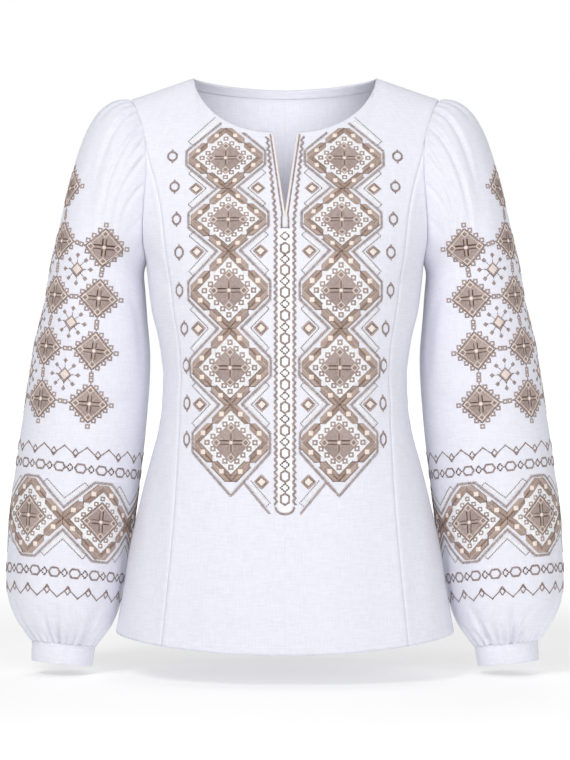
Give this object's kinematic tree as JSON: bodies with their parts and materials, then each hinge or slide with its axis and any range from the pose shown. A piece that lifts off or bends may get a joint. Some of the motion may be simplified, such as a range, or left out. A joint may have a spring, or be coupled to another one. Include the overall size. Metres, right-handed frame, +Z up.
{
  "type": "vyshyvanka blouse",
  "caption": "White linen folk blouse with a round slit neck, princess seams, gathered bishop sleeves, buttoned cuffs and taupe geometric embroidery, hollow and filled out.",
  "frame": {"origin": "middle of the neck hole, level with the points where the shoulder seams meet the neckline", "axes": "+Z up, the front of the blouse faces -Y, +X is the wearer's left"},
  "size_m": [0.635, 0.2333, 0.6722],
  "materials": {
    "white_linen": "plain-weave linen, matt",
    "shell_button": "pale shell-like button, satin",
    "taupe_thread": "stranded embroidery cotton, slight sheen",
    "brown_thread": "stranded embroidery cotton, slight sheen",
    "cream_thread": "stranded embroidery cotton, slight sheen"
  },
  "bodies": {
    "root": {"front_panel": "white_linen", "side_front_left": "white_linen", "side_front_right": "white_linen", "back_panel": "white_linen", "neck_binding": "white_linen", "sleeve_left": "white_linen", "sleeve_right": "white_linen", "cuff_left": "white_linen", "cuff_right": "white_linen", "cuff_button_left": "shell_button", "cuff_button_right": "shell_button"}
  },
  "joints": []
}
